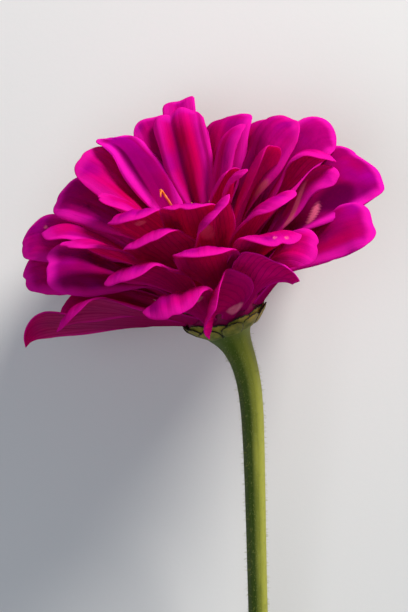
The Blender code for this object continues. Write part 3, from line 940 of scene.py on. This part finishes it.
def make_hairs(look, stem, finish):
    """Short stiff hairs all over the stem, grown by a geometry tree from its skin."""
    g = Growth("stem_hairs")
    length = g.asks("Hair length", "Float", look.hair_length)
    thickness = g.asks("Hair thickness", "Float", look.hair_thickness)
    density = g.asks("Hairs per square metre", "Float", look.hair_density)
    seed = g.asks("Seed", "Int", look.seed)
    material = g.asks("Material", "Material", finish)
    along = g.node("GeometryNodeInputNamedAttribute", {"data_type": "FLOAT"}, {"Name": "along"})
    cut = g.node("GeometryNodeInputNamedAttribute", {"data_type": "FLOAT"}, {"Name": "cut"})
    share = along.spread(0.01, 0.04) * (1 - cut)
    spots = g.node("GeometryNodeDistributePointsOnFaces", {"distribute_method": "RANDOM"},
                   {"Mesh": g.start(), "Density": density * share, "Seed": seed})
    normal = Wire(g, spots.socket.node.outputs["Normal"])
    lean = g.vector(*(g.random(low, high, seed, salt) for low, high, salt in HAIR_LEANS))
    aim = g.node("ShaderNodeVectorMath", {"operation": "ADD"}, {0: normal, 1: lean})
    turn = g.node("FunctionNodeAlignRotationToVector", {"axis": "Z"}, {"Vector": aim})
    hair = g.node("GeometryNodeMeshCone", values={
        "Vertices": 4, "Side Segments": 2, "Fill Segments": 1,
        "Radius Top": 0.01 * MM, "Radius Bottom": thickness / 2, "Depth": length})
    size = g.random(0.45, 1.15, seed, 4)
    g.repeat(spots, hair, turn, g.vector(1.0, 1.0, size), material)
    place(g.grow(add_object("stem_hairs", stem.data.copy())), "stem")


# ---------------------------------------------------------------- scales


def scale_mesh(name, bottom, tip, gap, width, look):
    """One scale in the upright frame at azimuth 0, which hugs the flare and ends in a fringed margin."""
    rows, columns = SCALE_GRID
    rng = np.random.default_rng(look.seed + rows)
    across = np.linspace(-1, 1, columns + 1)
    fringe = 1 - 0.30 * np.abs(across) ** 2.4 + rng.uniform(-0.05, 0.05, columns + 1)
    points, along, rim = [], [], []
    for side in (1, -1):
        for i in range(rows + 1):
            share = i / rows
            for s, reach in zip(across, fringe):
                height = bottom + (tip - bottom) * share * reach
                radius = flare_radius(height) + gap + 0.35 * MM * share**2 + side * look.scale_thickness / 2
                spread = width * (0.72 + 0.28 * math.sin(min(share * 1.35, 1.0) * math.pi / 2)) * s
                radius -= 0.25 * MM * s * s
                turn = spread / max(radius, 4 * MM)
                points.append((radius * math.sin(turn), -radius * math.cos(turn), height))
                along.append(share)
                rim.append(max(abs(s) ** 3, ease((share - 0.62) / 0.38)))
    return marked_mesh(name, points, shell_faces(rows, columns), {"along": along, "rim": rim})


def flare_radius(height):
    """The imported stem's radius at a height over the base of the head."""
    heights = (HEAD.centres - HEAD.base) @ HEAD.axis
    near = slice(STEM_RINGS - FLARE_RINGS, None)
    order = np.argsort(heights[near])
    return float(np.interp(height, heights[near][order], HEAD.radii[near][order]))


def make_scales(node, row, look, finish):
    """A row of scales round the base of the head: one scale, repeated about the axis by a geometry tree."""
    bottom, tip, gap, width, count, offset = row
    name = f"{node}_scales"
    obj = add_object(name, scale_mesh(name, bottom, tip, gap, width, look))
    g = Growth(name)
    number = g.asks("Scales", "Int", count)
    lean = g.asks("Lean", "Float", look.scale_lean)
    first = g.asks("First scale", "Float", offset)
    seed = g.asks("Seed", "Int", look.seed)
    material = g.asks("Material", "Material", finish)
    points = g.node("GeometryNodePoints", values={"Count": number})
    index = g.node("GeometryNodeInputIndex")
    turn = (index + first + g.random(-0.1, 0.1, seed, 1)) * (2 * math.pi) / number
    tilt = g.random(-0.4, 0.4, seed, 2) * lean
    angles = g.vector(tilt, g.random(-0.02, 0.02, seed, 3), turn)
    euler = g.node("FunctionNodeEulerToRotation", values={"Euler": angles})
    size = g.random(0.97, 1.03, seed, 4)
    g.repeat(points, g.start(), euler, g.vector(size, size, size), material)
    g.grow(obj)
    obj.data.transform(HEAD.matrix())
    spots = np.empty(3 * len(obj.data.vertices))
    obj.data.vertices.foreach_get("co", spots)
    dry = ease((spots[::3] - HEAD.base[0] - 1 * MM) / (7 * MM))
    keep_mark(obj.data, "dry", dry)
    place(obj, "bract", node)


# ---------------------------------------------------------------- heart


def turned_mesh(name, profile, sides, squash=1.0, hook=0.0):
    """A small closed shape turned round Z from (height, radius) pairs, squashed in Y, hooked towards -Y."""
    top = profile[-1][0]
    points, along = [], []
    for height, radius in profile:
        share = height / top
        for j in range(sides):
            turn = 2 * math.pi * j / sides
            bent = squash * radius * math.sin(turn) - hook * share**2
            points.append((radius * math.cos(turn), bent, height))
            along.append(share)
    faces = tube_faces(len(profile), sides)
    last = (len(profile) - 1) * sides
    faces += [tuple(range(sides))[::-1], tuple(range(last, last + sides))]
    return marked_mesh(name, points, faces, {"along": along})


def grow_on_dome(name, mesh, look, finish, dome):
    """Copies of a small shape in the sunflower spiral on a dome, from its middle out, by a geometry tree."""
    count, skip, reach, low, high, splay = dome
    obj = add_object(name, mesh)
    g = Growth(name)
    number = g.asks("Count", "Int", count)
    first = g.asks("First", "Float", skip)
    whole = g.asks("Dome count", "Float", count + skip)
    radius = g.asks("Dome radius", "Float", reach)
    bottom = g.asks("Rim height", "Float", low)
    top = g.asks("Top height", "Float", high)
    spread = g.asks("Splay", "Float", splay)
    seed = g.asks("Seed", "Int", look.seed)
    material = g.asks("Material", "Material", finish)
    index = g.node("GeometryNodeInputIndex") + first
    share = ((index + 0.5) / whole).root()
    turn = index * GOLDEN_ANGLE
    out = share * radius
    height = bottom + (top - bottom) * (1 - share * share)
    spot = g.vector(out * turn.cosine(), out * turn.sine(), height)
    points = g.node("GeometryNodePoints", values={"Count": number, "Position": spot})
    lean = share * spread + g.random(-0.12, 0.12, seed, 1)
    angles = g.vector(lean, g.random(-0.12, 0.12, seed, 2), turn + math.pi / 2)
    euler = g.node("FunctionNodeEulerToRotation", values={"Euler": angles})
    size = g.random(0.8, 1.15, seed, 3)
    g.repeat(points, g.start(), euler, g.vector(size, size, size), material)
    g.grow(obj)
    obj.data.transform(HEAD.matrix())
    return obj


def evenly(length, radius, shares):
    """(height, radius) pairs evenly along a length, from shares of a radius."""
    return [(length * i / (len(shares) - 1), radius * share) for i, share in enumerate(shares)]


def make_heart(look):
    """The heart of the head: pointed scales packed in a spiral, and orange florets and forked styles."""
    profile = evenly(look.scale_length, SMALL_SCALE_RADIUS, SMALL_SCALE_SHARES)
    mesh = turned_mesh("heart_scales", profile, 7, squash=0.45, hook=-0.5 * MM)
    finish = heart_finish("heart_scales", look.scale_low_colour, look.scale_high_colour)
    place(grow_on_dome("heart_scales", mesh, look, finish, SMALL_SCALE_DOME), "disc", "disc_florets")
    profile = evenly(FLORET_LENGTH, FLORET_RADIUS, FLORET_SHARES)
    mesh = turned_mesh("heart_florets", profile, 8)
    finish = heart_finish("heart_florets", look.floret_low_colour, look.floret_high_colour)
    place(grow_on_dome("heart_florets", mesh, look, finish, FLORET_DOME), "disc")
    make_styles(look, heart_finish("styles", look.style_low_colour, look.style_high_colour))


def tube(line, radii, sides):
    """Points, faces and shares along it of a closed tube about a line, with a pole at each end."""
    ahead = unit(np.gradient(line, axis=0))
    across = unit(np.cross(ahead, (0.31, 0.95, 0.11)))
    spokes, _ = spokes_of(across, np.cross(ahead, across), sides)
    points = (line[:, None] + np.asarray(radii)[:, None, None] * spokes).reshape(-1, 3)
    faces = tube_faces(len(line), sides) + pole_faces(len(line), sides)
    points = np.concatenate([points, [line[0] - radii[0] * ahead[0]], [line[-1] + radii[-1] * ahead[-1]]])
    along = np.concatenate([np.repeat(np.linspace(0, 1, len(line)), sides), [0.0, 1.0]])
    return points, faces, along


def make_styles(look, finish):
    """The forked styles that stand out of the heart: a thin stalk each, and two arms that curl apart."""
    rng = np.random.default_rng(look.seed)
    up = np.array([0, 0, 1])
    points, faces, along = [], [], []
    for azimuth, out, low, high, lean, size in STYLES:
        turn = math.radians(azimuth)
        away = np.array([math.sin(turn), -math.cos(turn), 0])
        aside = np.array([math.cos(turn), math.sin(turn), 0])
        share = np.linspace(0, 1, STYLE_POINTS)[:, None]
        foot, top = low * up, high * up
        stalk = foot + out * away + share * (top - foot) + share**2 * lean * away
        stalk = stalk + 0.3 * np.sin(3 * share) * aside
        parts = [(stalk, STALK_RADII, (0.0, 0.7))]
        for side in (-1, 1):
            bend = share * (2.6 + rng.uniform(-0.3, 0.3))
            arm = stalk[-1] + size * (0.9 * side * (1 - np.cos(bend)) * aside + 0.95 * np.sin(bend) * up)
            parts.append((arm + size * 0.25 * bend * away, ARM_RADII, (0.7, 1.0)))
        for line, radii, (low_share, high_share) in parts:
            more, their_faces, shares = tube(line, np.linspace(*radii, STYLE_POINTS) * size, STYLE_SIDES)
            start = sum(len(p) for p in points)
            points.append(more)
            faces += [tuple(start + q for q in face) for face in their_faces]
            along.append(low_share + shares * (high_share - low_share))
    placed = np.concatenate(points) * MM
    placed = HEAD.base + placed @ np.array([HEAD.right, -HEAD.facing, HEAD.axis])
    piece = mesh_object("styles", placed, faces, {"along": np.concatenate(along)}, finish)
    place(piece, "disc")


# ---------------------------------------------------------------- stage


def area_light(name, where, target, size, power, colour):
    lamp = bpy.data.lights.new(name, "AREA")
    lamp.shape, lamp.size, lamp.energy, lamp.color = "DISK", size, power, colour
    obj = add_object(name, lamp)
    obj.location = where
    obj.rotation_euler = (Vector(target) - Vector(where)).to_track_quat("-Z", "Y").to_euler()


def make_stage(look):
    """A wide pale surface, a soft key light from the upper right, a weak fill, and a camera looking down."""
    scene = bpy.context.scene
    bm = bmesh.new()
    bmesh.ops.create_circle(bm, cap_ends=True, segments=64, radius=look.floor_radius)
    mesh = bpy.data.meshes.new("pale_surface")
    bm.to_mesh(mesh)
    bm.free()
    mesh.transform(Matrix.Translation((0, 0, -look.floor_gap)))
    mesh.materials.append(floor_finish(look))
    floor = add_object("pale_surface", mesh)

    scene.world = bpy.data.worlds.new("soft_room")
    scene.world.use_nodes = True
    room = scene.world.node_tree.nodes["Background"]
    room.inputs["Color"].default_value = (*look.room_colour, 1.0)
    room.inputs["Strength"].default_value = look.room_strength
    heart = HEAD.base + 14 * MM * HEAD.axis
    for name, direction, away, size, power, colour in (
        ("key_light", (0.50, 0.80, 0.42), 0.9, 0.35, look.key_power, (1.0, 0.97, 0.92)),
        ("fill_light", (-0.25, -0.2, 1.0), 1.1, 0.9, look.fill_power, (0.86, 0.92, 1.0)),
    ):
        area_light(name, heart + away * unit(direction), heart, size, power, colour)

    lens = bpy.data.cameras.new("camera")
    lens.lens = look.lens
    lens.clip_start, lens.clip_end = 0.05, 20.0
    camera = add_object("camera", lens)
    camera.location = HEAD.base + np.array(look.camera_offset)
    scene.camera = camera
    scene.view_settings.view_transform = "Standard"


# ---------------------------------------------------------------- settings


def colour_setting(name, description, value):
    return bpy.props.FloatVectorProperty(
        name=name, description=description, default=value, subtype="COLOR", size=3, min=0.0, max=1.0)


def size_setting(name, description, value):
    return bpy.props.FloatProperty(name=name, description=description, default=value, min=0.0, unit="LENGTH")


def number_setting(name, description, value):
    return bpy.props.FloatProperty(name=name, description=description, default=value)


def power_setting(name, description, value):
    return bpy.props.FloatProperty(name=name, description=description, default=value, unit="POWER")


def count_setting(name, description, value):
    return bpy.props.IntProperty(name=name, description=description, default=value, min=0)


class ZinniaPetals(bpy.types.PropertyGroup):
    """Sizes and colours of the petals."""

    seed: count_setting("Seed", "Draws each petal's own waves and ribs", 4)
    thickness: size_setting("Thickness", "Thickness of a blade along its middle", 0.42 * MM)
    veins: number_setting("Veins", "How close the lengthwise veins are", 17.0)
    glow_share: number_setting("Glow", "Share of the light that shines through the tissue", 0.36)
    bright_colour: colour_setting("Bright", "Upper face where it is brightest", (0.70, 0.002, 0.29))
    deep_colour: colour_setting("Deep", "Upper face where it is deepest", (0.19, 0.0, 0.09))
    # Painted shade: darkest patches in the hollows.
    painted_shade_colour: colour_setting("Dusk", "Darkest patches in the hollows", (0.09, 0.0, 0.042))
    # Painted light: the red of light shining through the petals' bodies.
    painted_backlight_colour: colour_setting("Flush", "Red bodies of the petals", (0.62, 0.0, 0.085))
    # Painted shade: violet patches where shade falls towards the margins.
    shade_violet_colour: colour_setting("Violet", "Cool patches towards the margins", (0.30, 0.0, 0.28))
    vein_colour: colour_setting("Veins", "Lengthwise veins", (0.28, 0.0, 0.10))
    under_colour: colour_setting("Underside", "Underside where it is deepest", (0.66, 0.0, 0.15))
    under_light_colour: colour_setting("Light underside", "Underside where it is lightest", (0.92, 0.0, 0.22))
    faded_colour: colour_setting("Faded", "Underside of an old petal", (0.42, 0.035, 0.17))
    faded_vein_colour: colour_setting("Faded veins", "Veins of an old petal's underside", (0.24, 0.008, 0.09))
    # Painted shade at the petals' feet.
    claw_shade_colour: colour_setting("Claw", "Foot of a petal", (0.30, 0.0, 0.07))
    # Painted highlight along the margins of a petal.
    rim_highlight_colour: colour_setting("Rim", "Margins of a petal", (0.95, 0.010, 0.52))
    # Painted highlight: pale pink streaks where light glances off a petal.
    painted_highlight_colour: colour_setting("Worn", "Streaks where a rib is rubbed", (1.0, 0.17, 0.36))
    glow_colour: colour_setting("Glow colour", "Light that has come through the tissue", (0.85, 0.0, 0.22))


class ZinniaStem(bpy.types.PropertyGroup):
    """Sizes and colours of the stem."""

    seed: count_setting("Seed", "Draws the stem's drift and its hairs", 3)
    sides: count_setting("Sides", "Points round the stem", 56)
    ribs: count_setting("Ribs", "Ribs round the stem", 9)
    rib_depth: number_setting("Rib depth", "Depth of a rib as a share of the radius", 0.010)
    hair_length: size_setting("Hair length", "Longest hairs", 0.75 * MM)
    hair_thickness: size_setting("Hair thickness", "A hair at its foot", 0.06 * MM)
    hair_density: number_setting("Hairs", "Hairs on a square metre of skin", 1.3e6)
    # Painted light: skin on the side towards the key light.
    lit_side_colour: colour_setting("Light", "Skin on the ribs", (0.40, 0.40, 0.06))
    # Painted shade: skin turned away from the key light.
    unlit_colour: colour_setting("Dark", "Skin between the ribs", (0.045, 0.08, 0.002))
    # Painted shade: grey skin on the far side.
    grey_colour: colour_setting("Grey", "Skin on the shaded side", (0.065, 0.09, 0.025))
    flare_colour: colour_setting("Flare", "Skin under the head", (0.09, 0.13, 0.008))
    receptacle_colour: colour_setting("Receptacle", "Skin between the petals' feet", (0.22, 0.0, 0.06))
    dot_colour: colour_setting("Dots", "Small pale dots", (0.36, 0.42, 0.14))
    hair_colour: colour_setting("Hairs", "Hairs on the skin", (0.20, 0.24, 0.05))
    pith_colour: colour_setting("Pith", "The cut end", (0.55, 0.60, 0.33))


class ZinniaScales(bpy.types.PropertyGroup):
    """Sizes and colours of the scales under the head."""

    seed: count_setting("Seed", "Draws the scales' lean and fringe", 5)
    scale_thickness: size_setting("Thickness", "Thickness of a scale", 0.35 * MM)
    scale_lean: number_setting("Lean", "How far scales lean out of line", 0.1)
    scale_colour: colour_setting("Scale", "Scales at their feet", (0.09, 0.11, 0.008))
    scale_light_colour: colour_setting("Light scale", "Light patches of the scales", (0.26, 0.26, 0.03))
    scale_tip_colour: colour_setting("Tip", "Scales towards their tips", (0.40, 0.26, 0.035))
    margin_colour: colour_setting("Margin", "Dry fringe of the scales", (0.025, 0.018, 0.012))


class ZinniaHeart(bpy.types.PropertyGroup):
    """Sizes and colours of the heart of the head."""

    seed: count_setting("Seed", "Draws the lean of the small scales and florets", 8)
    scale_length: size_setting("Scale length", "Small scales of the heart", 4.6 * MM)
    scale_low_colour: colour_setting("Scale foot", "Small scales at their feet", (0.16, 0.10, 0.02))
    scale_high_colour: colour_setting("Scale tip", "Small scales at their tips", (0.20, 0.0, 0.04))
    style_low_colour: colour_setting("Style foot", "Styles at their feet", (0.50, 0.02, 0.05))
    style_high_colour: colour_setting("Style tip", "Forked tips of the styles", (0.95, 0.22, 0.01))
    floret_low_colour: colour_setting("Floret foot", "Florets at their feet", (0.42, 0.20, 0.03))
    floret_high_colour: colour_setting("Floret tip", "Florets at their tips", (0.92, 0.34, 0.02))


class ZinniaStage(bpy.types.PropertyGroup):
    """Surface, lights and camera."""

    floor_radius: size_setting("Surface", "Radius of the surface", 6.0)
    floor_gap: size_setting("Gap", "How far the surface lies under the flower", 0.02 * MM)
    colour: colour_setting("Surface colour", "Pale surface", (0.80, 0.79, 0.77))
    room_colour: colour_setting("Room", "Light of the room", (0.74, 0.84, 1.0))
    room_strength: number_setting("Room light", "Strength of the room's light", 0.2)
    key_power: power_setting("Key", "Power of the key light", 11.5)
    fill_power: power_setting("Fill", "Power of the fill light", 3.8)
    lens: number_setting("Lens", "Focal length in millimetres on a sensor of 36", 164.1)
    camera_offset: bpy.props.FloatVectorProperty(
        name="Camera", description="Camera's place from the base of the head", subtype="XYZ", unit="LENGTH",
        default=(-5.2 * MM, 4.3 * MM, 0.6))


# ---------------------------------------------------------------- operators


class ZINNIA_OT_petals(bpy.types.Operator):
    """Grow the petals of every whorl"""

    bl_idname = "zinnia.petals"
    bl_label = "Petals"

    def execute(self, context):
        look = context.scene.zinnia_petals
        finish = petal_finish(look)
        for whorl, count in WHORLS.items():
            for i in range(count):
                make_petal(f"petal_{whorl}_{i + 1:02d}", look, finish)
        return {"FINISHED"}


class ZINNIA_OT_stem(bpy.types.Operator):
    """Grow the stem with its hairs"""

    bl_idname = "zinnia.stem"
    bl_label = "Stem"

    def execute(self, context):
        look = context.scene.zinnia_stem
        stem = make_stem(look, stem_finish(look))
        make_hairs(look, stem, hair_finish(look))
        return {"FINISHED"}


class ZINNIA_OT_scales(bpy.types.Operator):
    """Grow the rows of scales under the head"""

    bl_idname = "zinnia.scales"
    bl_label = "Scales"

    def execute(self, context):
        look = context.scene.zinnia_scales
        finish = scale_finish(look)
        for name, row in SCALE_ROWS.items():
            make_scales(name, row, look, finish)
        return {"FINISHED"}


class ZINNIA_OT_heart(bpy.types.Operator):
    """Grow the heart of the head"""

    bl_idname = "zinnia.heart"
    bl_label = "Heart"

    def execute(self, context):
        make_heart(context.scene.zinnia_heart)
        return {"FINISHED"}


class ZINNIA_OT_stage(bpy.types.Operator):
    """Set the surface, the lights and the camera"""

    bl_idname = "zinnia.stage"
    bl_label = "Stage"

    def execute(self, context):
        make_stage(context.scene.zinnia_stage)
        return {"FINISHED"}


class ZINNIA_PT_panel(bpy.types.Panel):
    """Lists the steps that grow the flower"""

    bl_label = "Cut zinnia"
    bl_idname = "ZINNIA_PT_panel"
    bl_space_type = "VIEW_3D"
    bl_region_type = "UI"
    bl_category = "Zinnia"

    def draw(self, context):
        for operator in OPERATORS:
            self.layout.operator(operator.bl_idname)


SETTINGS = {
    "zinnia_petals": ZinniaPetals,
    "zinnia_stem": ZinniaStem,
    "zinnia_scales": ZinniaScales,
    "zinnia_heart": ZinniaHeart,
    "zinnia_stage": ZinniaStage,
}
OPERATORS = (ZINNIA_OT_stage, ZINNIA_OT_stem, ZINNIA_OT_scales, ZINNIA_OT_heart, ZINNIA_OT_petals)
CLASSES = (*SETTINGS.values(), *OPERATORS, ZINNIA_PT_panel)


def register():
    for cls in CLASSES:
        bpy.utils.register_class(cls)
    for name, group in SETTINGS.items():
        setattr(bpy.types.Scene, name, bpy.props.PointerProperty(type=group))


def unregister():
    for name in SETTINGS:
        delattr(bpy.types.Scene, name)
    for cls in reversed(CLASSES):
        bpy.utils.unregister_class(cls)


def main():
    register()
    for operator in OPERATORS:
        getattr(bpy.ops.zinnia, operator.bl_idname.split(".")[1])()


if __name__ == "__main__":
    main()
